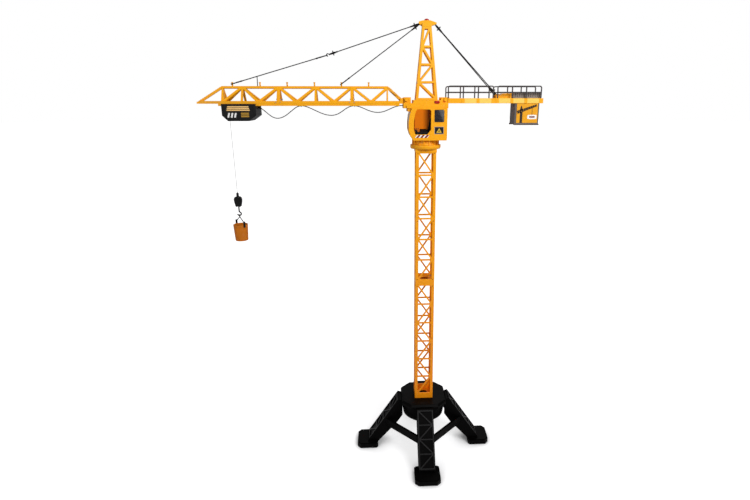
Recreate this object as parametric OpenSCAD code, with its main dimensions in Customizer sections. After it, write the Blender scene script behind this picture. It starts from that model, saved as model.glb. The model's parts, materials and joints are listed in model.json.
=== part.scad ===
// Toy tower crane, standing on four legs, with a slewing jib and a trolley that carries a hoist.
// Millimetres. +Z is up, the mast stands on the Z axis, the jib points along -X, the floor is z = 0.

/* [Base] */
// Distance from the mast's axis to the middle of each foot pad
foot_reach = 180; // [176:1:186]
// Half the width across the flats of the octagonal deck
deck_r = 70; // [66:1:74]
// Height of the deck's top face above the floor
deck_z = 174; // [170:1:178]
// Width of one leg
leg_w = 50; // [42:1:54]

/* [Mast] */
// Outside width of the square mast
mast_w = 56; // [54:1:60]
// Width of a corner post, seen on one face
mast_post = 8.5; // [7.5:0.5:12]
// Width of a lattice bar
mast_bar = 4.6; // [3.5:0.1:6]
// Thickness of a lattice wall
mast_wall = 3.6; // [3:0.1:5]
// Height of the joint between the two mast sections
mast_joint_z = 566; // [556:1:576]
// Lattice panels in each mast section
mast_panels = 6; // [4:1:8]

/* [Tower head] */
// Width of the tower head at its foot
head_foot_w = 58; // [54:1:60]
// Width of the tower head under its cap
head_top_w = 24; // [20:1:30]
// Height of the tower head's cap
head_top_z = 1259; // [1240:1:1262]

/* [Jib] */
// Distance from the mast's axis to the jib's point
jib_reach = 605; // [600:1:608]
// Half the distance between the two bottom chords
jib_half = 21; // [20:0.5:22]
// Height of the bottom chords' middle
jib_z = 1073; // [1072:0.5:1074]
// Height of the top chord's middle
jib_top_z = 1111; // [1108:1:1113]
// Width of a diagonal bar
jib_bar = 6.6; // [5:0.2:8]

/* [Counter-jib] */
// Distance from the mast's axis to the end of the counter-jib
counter_reach = 313; // [309:1:316]
// Width of the counter-jib's deck
counter_w = 53; // [48:1:56]

/* [Trolley and hook] */
// Distance from the mast's axis to the hoist line
line_x = 525; // [523:0.5:526]
// Height of the hook block's neck with the hook half lowered
hook_z = 830; // [800:1:860]
// Diameter of the bucket's rim
bucket_d = 39.6; // [36:0.2:42]
// Depth of the bucket
bucket_h = 46; // [40:1:50]

/* [Hidden] */
$fn = 48;

e = 0.01;
yellow = "#ffb000";
black = "#1b1b1d";
grey = "#55565a";

// Base
pad_l = 66;
pad_w = 76;
pad_h = 17;
deck_h = 14;
// Half the length of a wide edge of the deck, as a share of deck_r
deck_wide = 0.6;
leg_panels = 4;
leg_wall = 4;
leg_top = [81, 169];
leg_low = [178, 23];
strut_z = 88;
strut_h = 24;
strut_r = 116;

// Mast
lower_foot = 16;
lower_head = 10;
upper_foot = 6.5;
upper_head = 9.5;
screw_at = [-20, 20];
flange_z = 951;
turn_z = 962;
post_r = 8;
post_h = 27.3;
fit = 0.05;

// Slewing gear pair
gear_module = 1;
sun_teeth = 32;
pinion_teeth = 12;
sun_r = gear_module * sun_teeth / 2;
pinion_r = gear_module * pinion_teeth / 2;
pinion_x = sun_r + pinion_r;

// Cab
cab_z = 975;
cab_top = 1058;
cab_y = 45;
cab_skin = 3;
roof_z = 1079;
// Underside of the hinge lugs, just above the saddle
lug_z = cab_top + 13.2;

// Tower head
head_lean = atan((head_foot_w - head_top_w) / 2 / (head_top_z - roof_z));
head_levels = [0, 45, 89, 133, 178];
cap_h = 16.2;
// The cap's two pins, in x and in height above the tower's top
cap_pins = [[-16.8, 9], [20.8, 8.2]];

// Jib: distances along it, from the mast
jib_joints = [62, 197.5, 390];
jib_end = 537;
top_nodes = [102, 197.5, 293, 390, 484, 537];
low_nodes = [148, 246, 343, 441, 533];
jib_chord = 7;
jib_plate = 4;
jib_lean = atan((jib_half - 1) / (jib_top_z - jib_z));
jib_slope = norm([jib_half - 1, jib_top_z - jib_z]);
peg_xs = [153, 225, 296, 367.4, 438, 509.6];
rail_z = 1064;
tie_z = jib_z + 3;

// Counter-jib
deck_low = 1070.5;
deck_top = 1083.5;
counter_root = 50;
rail_posts = [[57, 97, 137, 177], [189, 228, 266, 306]];

// Trolley, hoist and hook
box_x = [-535, -447];
box_z = [1026, 1062];
box_y = 32;
box_skin = 2.5;
drum_r = 6;
drum_x = -line_x + drum_r;
drum_z = 1045;
shaft_r = 1.5;
hoist_module = 0.6;
drum_teeth = 28;
hoist_teeth = 10;
hoist_x = drum_x + hoist_module * (drum_teeth + hoist_teeth) / 2;
wheel_r = 3.5;
wheel_z = 1070;
wheel_xs = [-518, -464];
wheel_y = 15;
axle_r = 1.25;
hook_r = 5;
hook_wire = 1.8;
hook_mid = hook_z - 58.3;
ear_z = hook_z - 81;
bail_turn = -45;
rim_z = hook_z - 89;

// Cords
line_d = 1.0;
pin_r = 0.9;
stay_d = 2.6;
cable_d = 2.2;
// Underside of the carriers, where the cable hangs
cable_top = 1065.1;
// The festoon cable's route in x and z, from the trolley to the jib's root: it sags between carriers
cable_route = [[-446.5, 1060], [-440, 1057.5], [-431, 1050.5], [-421, 1042], [-411, 1035], [-400, 1032],
               [-389, 1033.5], [-378, 1038.5], [-367, 1046], [-356, 1054.5], [-345, 1061.5],
               [-334, 1064], [-322, 1062.5], [-309, 1057.5], [-295, 1051], [-280, 1044.5],
               [-266, 1040.5], [-252, 1039.5], [-239, 1042.5], [-227, 1049], [-215, 1057],
               [-203, 1062.5], [-192, 1064], [-180, 1062], [-168, 1057.5], [-155, 1052],
               [-141, 1048], [-127, 1047], [-113, 1049.5], [-99, 1055], [-86, 1060.5],
               [-73, 1064], [-62, 1065]];

// ---------------------------------------------------------------- shared shapes

// A straight square bar from p to q, w wide and h high
module beam(p, q, w, h) {
    d = q - p;
    translate(p) rotate([0, -atan2(d.z, norm([d.x, d.y])), atan2(d.y, d.x)])
        translate([0, -w / 2, -h / 2]) cube([norm(d), w, h]);
}

// A cylinder along X, Y or Z, centred on p
module rod(p, axis, r, l) {
    turn = axis == "x" ? [0, 90, 0] : axis == "y" ? [90, 0, 0] : [0, 0, 0];
    translate(p) rotate(turn) cylinder(r = r, h = l, center = true);
}

// A triangle moved in by d on every side
function inset(t, d) =
    let (a = norm(t[1] - t[2]), b = norm(t[2] - t[0]), c = norm(t[0] - t[1]), s = (a + b + c) / 2,
         mid = (a * t[0] + b * t[1] + c * t[2]) / (a + b + c),
         r = sqrt((s - a) * (s - b) * (s - c) / s))
    [for (p = t) mid + (p - mid) * (r - d) / r];

// A flat bar, w wide, along the line through p and q and a little past them
module strip(p, q, w) {
    d = q - p;
    translate(p) rotate(atan2(d.y, d.x)) translate([-w, -w / 2]) square([norm(d) + 2 * w, w]);
}

// The two windows of a lattice panel that a diagonal bar divides, leaning / or \
module panel_windows(x0, x1, z0, z1, bar, lean) {
    w = x1 - x0;
    h = z1 - z0;
    long = norm([w, h]);
    up = bar / 2 * long / w;
    along = bar / 2 * long / h;
    translate([lean == "/" ? x0 : x1, z0]) mirror([lean == "/" ? 0 : 1, 0]) {
        polygon([[0, up], [w - along, h], [0, h]]);
        polygon([[along, 0], [w, 0], [w, h - up]]);
    }
}

// A flat lattice wall, w wide and h high, with solid bands at its foot and head
module lattice_wall(w, h, foot, head, panels, post, bar) {
    pitch = (h - foot - head) / panels;
    difference() {
        square([w, h]);
        for (i = [0 : panels - 1])
            panel_windows(post, w - post, foot + i * pitch + bar / 2, foot + (i + 1) * pitch - bar / 2,
                          bar, i % 2 == 0 ? "/" : "\\");
    }
}

// A square lattice tube, standing on z = 0
module lattice_tube(h, foot, head) {
    for (turn = [0 : 90 : 270]) rotate(turn) translate([-mast_w / 2, -mast_w / 2 + mast_wall, 0])
        rotate([90, 0, 0]) linear_extrude(mast_wall)
            lattice_wall(mast_w, h, foot, head, mast_panels, mast_post, mast_bar);
}

// The outline of a spur gear with straight-sided teeth, one tooth pointing along +X
function gear_points(teeth, m) = [for (i = [0 : teeth - 1])
    let (r = m * teeth / 2, pitch = 360 / teeth, a = i * pitch,
         corner = [[r - 1.15 * m, 0.34], [r, 0.215], [r + 0.8 * m, 0.10]])
    each [for (c = corner) c[0] * [cos(a - c[1] * pitch), sin(a - c[1] * pitch)],
          for (k = [2, 1, 0]) corner[k][0] * [cos(a + corner[k][1] * pitch),
                                              sin(a + corner[k][1] * pitch)]]];

// A round cord swept along a route of points, with flat ends
function unit(v) = v / norm(v);
function route_way(p, i) = unit(p[min(i + 1, len(p) - 1)] - p[max(i - 1, 0)]);
function ring_at(p, way, r, n) =
    let (side = unit(cross(way, [0, 1, 0.001])), over = cross(way, side))
    [for (k = [0 : n - 1]) p + r * (cos(k * 360 / n) * side + sin(k * 360 / n) * over)];
module cord(route, d, n = 8) {
    m = len(route);
    points = [for (i = [0 : m - 1]) each ring_at(route[i], route_way(route, i), d / 2, n)];
    ends = [[for (k = [n - 1 : -1 : 0]) k], [for (k = [0 : n - 1]) (m - 1) * n + k]];
    sides = [for (i = [0 : m - 2], k = [0 : n - 1])
             [i * n + k, i * n + (k + 1) % n, (i + 1) * n + (k + 1) % n, (i + 1) * n + k]];
    polyhedron(points = points, faces = concat(ends, sides), convexity = 10);
}

// ---------------------------------------------------------------- base

// A flat octagon, r wide over its flats from the middle
// A square with cut corners: a wide edge over each leg and a narrower one between
module octagon(r) {
    side = r * deck_wide;
    polygon([for (turn = [0 : 90 : 270], y = [-side, side])
             [r * cos(turn) - y * sin(turn), r * sin(turn) + y * cos(turn)]]);
}

module base_deck() {
    bevel = [5, 6];
    skin = 4;
    corner_r = deck_r * (1 + deck_wide) / sqrt(2);
    color(black) difference() {
        translate([0, 0, deck_z - deck_h]) linear_extrude(deck_h) octagon(deck_r);
        // the bevelled rim
        for (turn = [0 : 45 : 315])
            rotate(turn) translate([turn % 90 == 0 ? deck_r : corner_r, 0, deck_z - bevel.y])
                rotate([0, -atan(bevel.x / bevel.y), 0]) translate([0, -60, -2]) cube([20, 120, 30]);
        // the pockets between the ribs underneath
        translate([0, 0, deck_z - deck_h - 1]) linear_extrude(deck_h + 1 - skin) difference() {
            octagon(deck_r - skin);
            square(76, center = true);
            for (turn = [0 : 45 : 135]) rotate(turn) square([3 * deck_r, 3], center = true);
        }
        translate([0, 0, deck_z - 20]) cylinder(r = 6, h = 30);
    }
}

module base_bowl() {
    color(black) rotate_extrude($fn = 96)
        polygon([[40, 105], [54, 105], [64, 114], [66, 128], [66, deck_z - 14.2],
                 [62.5, deck_z - 14.2], [62.5, 129], [60.8, 116.5], [52.5, 108.5], [40, 108.5]]);
}

// One leg along +X: two cheeks, a ribbed sloping face, the block that meets the deck, and a pad
module leg() {
    low = leg_low + [foot_reach - 180, 0];
    under = deck_z - deck_h - 0.2;
    web = [[deck_r + 0.1, deck_z - 8], leg_top, low, [foot_reach + 1, pad_h - 3],
           [foot_reach - 32, pad_h - 3], [87, 82], [67, 112], [67, under], [deck_r + 0.1, under]];
    slope = atan2(leg_top.y - low.y, low.x - leg_top.x);
    run = norm(low - leg_top);
    within = leg_w - 2 * leg_wall + 2;
    union() {
        for (y = [-leg_w / 2, leg_w / 2 - leg_wall]) translate([0, y + leg_wall, 0])
            rotate([90, 0, 0]) linear_extrude(leg_wall) polygon(web);
        translate([leg_top.x, 0, leg_top.y]) rotate([0, slope, 0]) {
            difference() {
                translate([0, -within / 2, -leg_wall]) cube([run, within, leg_wall - 0.6]);
                // the pressed-in panels between the zigzag ribs
                translate([0, 0, -leg_wall + 1.2]) linear_extrude(5) rotate(90)
                    translate([-leg_w / 2, -run]) for (i = [0 : leg_panels - 1])
                        panel_windows(6, leg_w - 6, 6 + i * (run - 10) / leg_panels,
                            2 + (i + 1) * (run - 10) / leg_panels, 4, i % 2 == 0 ? "/" : "\\");
            }
            for (i = [1 : leg_panels - 1]) translate([i * run / leg_panels, -within / 2, -28])
                cube([3, within, 26]);
        }
        // the block that fits under the deck's rim
        translate([69, -within / 2, 118]) cube([4, within, under - 118]);
        translate([72, -within / 2, under - 2]) cube([12, within, 7.5]);
        translate([foot_reach, 0, 0]) pad();
    }
}

// A foot pad with cut corners, a stepped top and a hollow underside
module pad() {
    l = pad_l / 2;
    w = pad_w / 2;
    outline = [[-l, -w + 6], [-l + 5, -w], [l - 10, -w], [l, -w + 11], [l, w - 11], [l - 10, w],
               [-l + 5, w], [-l, w - 6]];
    difference() {
        union() {
            linear_extrude(pad_h - 2) polygon(outline);
            linear_extrude(pad_h) polygon(outline * 0.93);
        }
        translate([0, 0, -1]) linear_extrude(8) polygon(outline * 0.86);
    }
}

module leg_left() { color(black) rotate(180) leg(); }
module leg_front() { color(black) rotate(270) leg(); }
module leg_right() { color(black) leg(); }
module leg_rear() { color(black) rotate(90) leg(); }

// Four flat bars on edge, each between the cheeks of two legs
module base_struts() {
    near = leg_w / 2;
    t = 5;
    color(black) for (turn = [0 : 90 : 270]) rotate(turn) translate([0, 0, strut_z - strut_h / 2])
        linear_extrude(strut_h) polygon([[strut_r - t, near], [strut_r + t, near],
                                    [near, strut_r + t], [near, strut_r - t]]);
}

// ---------------------------------------------------------------- mast

module mast_lower() {
    color(yellow) translate([0, 0, deck_z]) difference() {
        union() {
            lattice_tube(mast_joint_z - deck_z, lower_foot, lower_head);
            // a shelf inside the joint and a floor inside the foot
            translate([-mast_w / 2 + 1, -mast_w / 2 + 1, mast_joint_z - deck_z - lower_head])
                cube([mast_w - 2, mast_w - 2, 3]);
            translate([-mast_w / 2 + 1, -mast_w / 2 + 1, 0]) cube([mast_w - 2, mast_w - 2, 3]);
        }
        for (z = [-e, mast_joint_z - deck_z - lower_head - e]) translate([0, 0, z])
            cylinder(r = 14, h = 4);
        for (x = screw_at, y = screw_at)
            translate([x, y, mast_joint_z - deck_z - lower_head - e]) cylinder(r = 2.05, h = 4);
    }
}

module mast_upper() {
    color(yellow) translate([0, 0, mast_joint_z]) difference() {
        union() {
            lattice_tube(flange_z - mast_joint_z, upper_foot, upper_head);
            translate([-mast_w / 2 + 1, -mast_w / 2 + 1, 0]) cube([mast_w - 2, mast_w - 2, 3]);
            translate([-mast_w / 2 + 1, -mast_w / 2 + 1, flange_z - mast_joint_z - 3])
                cube([mast_w - 2, mast_w - 2, 3]);
            translate([-mast_w / 2 - 1.2, -mast_w / 2 - 1.2, flange_z - mast_joint_z - 9])
                cube([mast_w + 2.4, mast_w + 2.4, 9]);
        }
        translate([-mast_w / 2 + mast_wall, -mast_w / 2 + mast_wall, flange_z - mast_joint_z - 9.5])
            cube([mast_w - 2 * mast_wall, mast_w - 2 * mast_wall, 6.5]);
        translate([0, 0, -e]) cylinder(r = 14, h = 4);
        for (x = screw_at, y = screw_at) translate([x, y, -e]) cylinder(r = 2.05, h = 4);
    }
}

// Four screws that hold the two mast sections together, with their nuts
module mast_screws() {
    color("silver") for (x = screw_at, y = screw_at) translate([x, y, mast_joint_z]) {
        translate([0, 0, -8]) cylinder(r = 2, h = 12);
        translate([0, 0, 3]) cylinder(r = 3.6, h = 2.4);
        translate([0, 0, -10]) cylinder(r = 3.8, h = 3, $fn = 6);
    }
}

module mast_flange() {
    color(yellow) translate([0, 0, flange_z]) {
        cylinder(r1 = 40, r2 = 42, h = 3);
        translate([0, 0, 3 - e]) cylinder(r = 42, h = 7.7);
        cylinder(r = post_r, h = post_h);
    }
}

// ---------------------------------------------------------------- slewing drive

module slew_gear() {
    color("white") translate([0, 0, flange_z + 10.8]) difference() {
        linear_extrude(6) polygon(gear_points(sun_teeth, gear_module));
        translate([0, 0, -1]) cylinder(r = post_r, h = 8);
    }
}

module slew_pinion() {
    color("white") translate([pinion_x, 0, flange_z + 10.9]) {
        rotate(180 / pinion_teeth) linear_extrude(5.8) polygon(gear_points(pinion_teeth, gear_module));
        cylinder(r = 2.5, h = 17.7);
    }
}

module slew_washer() {
    color("silver") translate([0, 0, flange_z + post_h]) {
        cylinder(r = 12, h = 1.6);
        translate([0, 0, 1.6 - e]) cylinder(r1 = 4, r2 = 3, h = 2.4);
    }
}

module slew_motor() {
    color("silver") translate([pinion_x, 0, flange_z + 28]) difference() {
        union() {
            intersection() {
                cylinder(r = 9, h = 26);
                translate([-9, -7, 0]) cube([18, 14, 26]);
            }
            translate([0, 0, 26 - e]) cylinder(r = 3, h = 2);
        }
        translate([0, 0, -1]) cylinder(r = 2.6, h = 2);
    }
}

module turntable() {
    ribs = 16;
    color(yellow) difference() {
        union() {
            translate([0, 0, turn_z]) cylinder(r1 = 36, r2 = 34, h = cab_z - turn_z);
            for (i = [0 : ribs - 1]) rotate(i * 360 / ribs + 11.25)
                translate([30, -1.6, turn_z]) cube([7.5, 3.2, cab_z - turn_z]);
        }
        translate([0, 0, turn_z - 1]) cylinder(r = 30.5, h = 10);
        cylinder(r = post_r + fit, h = 1000);
        translate([pinion_x, 0, turn_z]) cylinder(r = 2.5 + fit, h = 20);
    }
}

// ---------------------------------------------------------------- cab

// The cab's side outline in x and z, grown inwards by d
function cab_outline(d) = [[-36 + d, cab_z + d], [53 - d, cab_z + d], [54 - d, cab_z + 8],
                           [54 - d, cab_top - d], [-41 + d, cab_top - d], [-46.5 + d, 1040],
                           [-49 + d, 1022], [-49 + d, 1003], [-44.5 + d, 988]];

module cab_shell() {
    color(yellow) difference() {
        translate([0, cab_y, 0]) rotate([90, 0, 0]) linear_extrude(2 * cab_y) polygon(cab_outline(0));
        translate([0, cab_y - cab_skin, 0]) rotate([90, 0, 0])
            linear_extrude(2 * (cab_y - cab_skin)) polygon(cab_outline(cab_skin));
        // the open side window, with its cut lower corner
        rotate([90, 0, 0]) linear_extrude(cab_y + 1)
            polygon([[-26, 1055], [7, 1055], [10.6, 1051.5], [10.6, 1003], [1, 991], [-31, 991],
                     [-35, 1003], [-35, 1024], [-32, 1042], [-29, 1052]]);
        // the recess that holds the dark side pane
        translate([18.6, -cab_y - 1, 1022]) cube([27, 2.2, 32]);
        // the recess of the square plate under it
        translate([20.6, -cab_y - 1, 993]) cube([23.7, 1.8, 17]);
        // the windscreen's opening
        translate([-60, -30, 1006]) cube([30, 60, 44]);
        translate([0, 0, cab_z - 1]) cylinder(r = post_r + fit, h = 10);
        translate([pinion_x, 0, cab_z - 1]) cylinder(r = 2.5 + fit, h = 10);
    }
}

module cab_windscreen() {
    pane = [[-48.2, 1006.2], [-48.2, 1022], [-45.8, 1040], [-42.9, 1049.8],
            [-44.6, 1049.8], [-47.4, 1040], [-49.8, 1022], [-49.8, 1006.2]];
    color("#303236") translate([1.4, 29.8, 0]) rotate([90, 0, 0]) linear_extrude(59.6) polygon(pane);
}

// The dark side pane, a separate pane set in its recess
module cab_window() {
    color("#1d2024") translate([32.1, -cab_y + 1.1, 1038]) rotate([90, 0, 0]) {
        linear_extrude(1.5) difference() {
            square([26.6, 31.6], center = true);
            for (x = [-1, 1], z = [-1, 1]) translate([x * 13.3, z * 15.8])
                rotate(45) square(3, center = true);
        }
    }
    color("#1d1d1f") translate([20.8, -cab_y + 0.7, 993.2]) rotate([90, 0, 0])
        linear_extrude(1) square([23.3, 16.6]);
}

module cab_seat() {
    color(black) union() {
        difference() {
            translate([-11, -16, cab_z + cab_skin]) cube([18, 32, 12]);
            // room for the slewing post's screw
            translate([0, 0, cab_z]) cylinder(r = 13.5, h = cab_skin + 7);
        }
        translate([-17, -18, cab_z + cab_skin + 12]) cube([24, 36, 6]);
        translate([5, 0, cab_z + cab_skin + 12]) rotate([0, 10, 0])
            translate([-3, -17, 0]) cube([6, 34, 42]);
        for (y = [-22, 18]) translate([-15, y, cab_z + cab_skin]) cube([18, 4, 24]);
    }
}

module cab_console() {
    color(black) union() {
        translate([0, 24, cab_z + cab_skin]) rotate([90, 0, 0]) linear_extrude(48)
            polygon([[-32.6, 0], [-27, 0], [-27, 16], [-38, 16], [-38, 6.6]]);
        translate([-36, -24, cab_z + cab_skin + 14]) rotate([0, 20, 0]) cube([16, 48, 4]);
        for (y = [-12, 12]) translate([-26, y, cab_z + cab_skin + 8]) cylinder(r = 1.5, h = 12);
        for (y = [-12, 12]) translate([-26, y, cab_z + cab_skin + 20]) sphere(r = 3);
    }
}

module cab_lamp() {
    color("red") translate([20, -38.5, roof_z - 8.5]) {
        cube([13, 2.5, 6]);
        translate([1, -0.8, 1]) cube([11, 0.8 + e, 4]);
    }
}

// The roof frame that joins the cab, the tower head, the jib and the counter-jib
module saddle() {
    color(yellow) difference() {
        union() {
            translate([-62, -36, cab_top]) cube([119, 72, 13]);
            translate([-54, -40, cab_top]) cube([100, 80, 8]);
            translate([-36, -36, cab_top + 12]) cube([76, 72, roof_z - cab_top - 12]);
            for (y = [-27, 20]) translate([-60, y, cab_top]) cube([18, 7, 28]);
            for (y = [-27, 20]) translate([38, y, cab_top]) cube([17.5, 7, 28]);
        }
        translate([-33, -33, cab_top - 1]) cube([70, 66, 15]);
        for (x = [-54, 50]) rod([x, 0, 1079.5], "y", 2.05, 80);
    }
}

// ---------------------------------------------------------------- tower head

module tower_head() {
    // the leaning walls' inner edges rest on the roof
    foot = roof_z + mast_wall * sin(head_lean);
    h = (head_top_z - foot) / cos(head_lean);
    half = head_foot_w / 2;
    post = 6.4;
    bar = 4.8;
    function inner(z) = half - (head_foot_w - head_top_w) / 2 * z / h - post;
    // opposite walls mirror each other, so that their diagonals run parallel
    color(yellow) for (turn = [0 : 90 : 270]) rotate(turn) mirror([turn >= 180 ? 1 : 0, 0, 0])
        translate([0, -half, foot]) rotate([90 - head_lean, 0, 0]) translate([0, 0, -mast_wall])
            linear_extrude(mast_wall) difference() {
                polygon([[-half, 0], [half, 0], [inner(h) + post, h], [-inner(h) - post, h]]);
                for (i = [0 : len(head_levels) - 2]) {
                    z0 = head_levels[i] + (i == 0 ? 5 : bar / 2);
                    z1 = head_levels[i + 1] - bar / 2;
                    side = i % 2 == 0 ? 1 : -1;
                    difference() {
                        polygon([[-inner(z0), z0], [inner(z0), z0], [inner(z1), z1], [-inner(z1), z1]]);
                        strip([side * inner(z0), z0], [-side * inner(z1), z1], bar);
                    }
                }
            }
}

// The cap: a block on the tower's top with a forked arm each way, and a pin across each fork
module head_cap() {
    arm_y = 6;
    color(yellow) translate([0, 0, head_top_z]) {
        translate([-12, -12.5, 0]) cube([24, 25, 9]);
        difference() {
            translate([0, arm_y, 0]) rotate([90, 0, 0]) linear_extrude(2 * arm_y)
                polygon([[-12, 2], [-13, 3.5], [-20.5, 8], [-20.5, 13.5], [-9, cap_h], [9, cap_h],
                         [25.5, 11], [25.5, 7.5], [14, 4], [12, 2]]);
            for (x = [-34, 13]) translate([x, -3.4, 0]) cube([21, 6.8, 20]);
        }
        for (p = cap_pins) rod([p.x, 0, p.y], "y", 1.9, 2 * arm_y + 1);
    }
}

module beacon() {
    color("red") translate([0, 0, head_top_z + cap_h]) rotate_extrude()
        polygon([[0, 0], [6.4, 0], [6.4, 1.1], [5.6, 2.8], [4.2, 3.9], [2.4, 4.6], [0.9, 4.8], [0, 4.8]]);
}

// ---------------------------------------------------------------- jib

// Where the side wall's height coordinate runs from the bottom chord to the top chord
function wall_point(x, top) = [-x, top ? jib_slope : 0];

// The windows of the side wall between two distances from the mast
module wall_windows(x0, x1) {
    for (i = [0 : len(low_nodes) - 1])
        if (top_nodes[i] >= x0 - 1 && top_nodes[i + 1] <= x1 + 1)
            polygon(inset([wall_point(top_nodes[i], true), wall_point(low_nodes[i], false),
                           wall_point(top_nodes[i + 1], true)], jib_bar / 2));
    if (x0 <= top_nodes[0])
        polygon(inset([wall_point(x0, false), wall_point(low_nodes[0], false), wall_point(x0, true)],
                      jib_bar / 2));
    for (i = [0 : len(low_nodes) - 2])
        for (side = [0, 1]) {
            a = side == 0 ? low_nodes[i] : top_nodes[i + 1];
            b = side == 0 ? top_nodes[i + 1] : low_nodes[i + 1];
            whole = wall_point(top_nodes[i + 1], true);
            if (a >= x0 - 1 && b <= x1 + 1)
                polygon(inset([wall_point(a, false), wall_point(b, false), whole], jib_bar / 2 - 0.6));
        }
}

// One side wall between two distances from the mast, both sides
module jib_walls(x0, x1) {
    for (side = [0, 1]) mirror([0, side, 0])
        translate([0, -jib_half, jib_z]) rotate([90 - jib_lean, 0, 0])
            translate([0, 0, -jib_plate / 2]) linear_extrude(jib_plate) difference() {
                translate([-x1, 0.6 - jib_bar / 2]) square([x1 - x0, jib_slope - 0.6 + jib_bar / 2]);
                wall_windows(x0, x1);
            }
}

// The two bottom chords, the top chord, and the ties between the bottom chords
module jib_chords(x0, x1, top0, ties) {
    for (y = [-jib_half, jib_half])
        translate([-x1, y - jib_chord / 2, jib_z - jib_chord / 2]) cube([x1 - x0, jib_chord, jib_chord]);
    translate([-x1, -3.2, jib_top_z - 3]) cube([x1 - top0, 6.4, 6]);
    for (x = ties) translate([-x - 2.5, -jib_half, tie_z]) cube([5, 2 * jib_half, 3]);
}

// A triangular frame across the jib, or a closed plate
module jib_frame(x, closed = false) {
    translate([-x - 2, 0, 0]) rotate([90, 0, 90]) linear_extrude(4) difference() {
        polygon([[-jib_half, tie_z - 1], [jib_half, tie_z - 1], [2.5, jib_top_z + 2],
                 [-2.5, jib_top_z + 2]]);
        if (!closed)
            polygon(inset([[-jib_half, tie_z - 1], [jib_half, tie_z - 1], [0, jib_top_z + 1]], 4.5));
    }
}

// Pegs for the stay hooks on the top chord
module pegs(xs) {
    for (x = xs) translate([-x, 0, jib_top_z + 3 - e]) {
        cylinder(r = 1.9, h = 8);
        translate([0, 0, 8 - e]) cylinder(r = 2.6, h = 2);
    }
}

module jib_root() {
    x0 = jib_joints[0];
    x1 = jib_joints[1];
    color(yellow) union() {
        difference() {
            union() {
                jib_walls(top_nodes[0], x1);
                jib_chords(x0, x1, top_nodes[0], [148]);
                for (y = [-jib_half, jib_half])
                    beam([-top_nodes[0], y * 0.15, jib_top_z - 1], [-x0 - 1, y, jib_z + 2], 6, 6.5);
                translate([-x0 - 8, -jib_half - 3, jib_z - 3.5]) cube([8, 2 * jib_half + 6, 14]);
                for (y = [-17, 10]) translate([-x0 - 1, y, lug_z]) cube([14, 7, 13.8]);
            }
            rod([-54, 0, 1079.5], "y", 2.05, 80);
        }
        jib_frame(top_nodes[0] + 2);
        jib_frame(x1 - 2.2);
        pegs([peg_xs[0]]);
    }
}

module jib_middle() {
    x0 = jib_joints[1];
    x1 = jib_joints[2];
    color(yellow) union() {
        jib_walls(x0, x1);
        jib_chords(x0, x1, x0, [246, 343]);
        jib_frame(x0 + 2.2);
        jib_frame(x1 - 2.2);
        pegs([peg_xs[1], peg_xs[2], peg_xs[3]]);
    }
}

module jib_tip() {
    x0 = jib_joints[2];
    color(yellow) union() {
        jib_walls(x0, jib_end);
        jib_chords(x0, jib_end, x0, [441, 533]);
        jib_frame(x0 + 2.2);
        jib_frame(jib_end - 2.2, closed = true);
        pegs([peg_xs[4], peg_xs[5]]);
        for (y = [-jib_half, jib_half])
            beam([-jib_end + 1, y, jib_z], [-jib_reach + 6, y * 0.14, jib_z], jib_chord, jib_chord);
        beam([-jib_end + 1, 0, jib_top_z], [-jib_reach + 4, 0, jib_z - 0.5], 6.4, 6);
        translate([-jib_reach, -6, jib_z - 3.5]) cube([9, 12, 5]);
    }
}

// Screws that hold the jib's sections and its root together
module jib_pins() {
    color("silver") {
        for (x = [jib_joints[1], jib_joints[2]], y = [-jib_half, jib_half])
            rod([-x, y * 0.62, tie_z + 4.5], "x", 1.5, 12);
        for (x = [-54, 50]) {
            rod([x, 0, 1079.5], "y", 2, 60);
            rod([x, -31, 1079.5], "y", 3.6, 2);
        }
    }
}

// The two angle rails under the bottom chords, tied together
module jib_rail() {
    low = jib_z - jib_chord / 2;
    color(yellow) union() {
        for (side = [0, 1]) mirror([0, side, 0]) {
            translate([-545, jib_half - 2.5, rail_z]) cube([473, 5.5, low - rail_z]);
            translate([-545, jib_half - 7.5, rail_z]) cube([473, 8, 2.2]);
        }
        for (x = [-545, -76]) translate([x, -jib_half, low - 2.2]) cube([4, 2 * jib_half, 2.2]);
    }
}

// ---------------------------------------------------------------- counter-jib

module counter_deck() {
    // one rib under each railing post, the first pushed clear of the roof frame
    ribs = [for (g = rail_posts, x = g) max(x, counter_root + 10.6), counter_reach - 4];
    color(yellow) difference() {
        union() {
            translate([counter_root + 8, -counter_w / 2, deck_top - 3])
                cube([counter_reach - counter_root - 8, counter_w, 3]);
            for (y = [-counter_w / 2, counter_w / 2 - 4]) translate([counter_root + 8, y, deck_low])
                cube([counter_reach - counter_root - 8, 4, deck_top - deck_low]);
            for (x = ribs) translate([x - 4, -counter_w / 2 - 0.8, deck_low])
                cube([8, counter_w + 1.6, deck_top - deck_low]);
            for (y = [-17, 10]) translate([counter_root - 6, y, lug_z]) cube([18, 7, 14.3]);
        }
        for (x = ribs) translate([x - 4.5, -counter_w / 2 + 4, deck_low - 1])
            cube([9, counter_w - 8, 8]);
        rod([50, 0, 1079.5], "y", 2.05, 80);
    }
}

// One length of railing: a bent tube with rounded ends, a middle rail and posts
module railing(posts) {
    x0 = posts[0];
    x1 = posts[3];
    top = 1115.5;
    bar = 3;
    bend = 6;
    rotate([90, 0, 0]) linear_extrude(bar) {
        for (x = posts) translate([x - bar / 2, deck_top])
            square([bar, top - deck_top - (x == x0 || x == x1 ? bend : 1)]);
        translate([x0, 1097]) square([x1 - x0, bar]);
        translate([x0 + bend - bar / 2, top - bar]) square([x1 - x0 - 2 * bend + bar, bar]);
        for (end = [[x0 + bend - bar / 2, 0], [x1 - bend + bar / 2, 1]])
            translate([end.x, top - bend]) mirror([end.y, 0]) intersection() {
                difference() { circle(r = bend); circle(r = bend - bar); }
                translate([-2 * bend, 0]) square(2 * bend);
            }
    }
}

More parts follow.
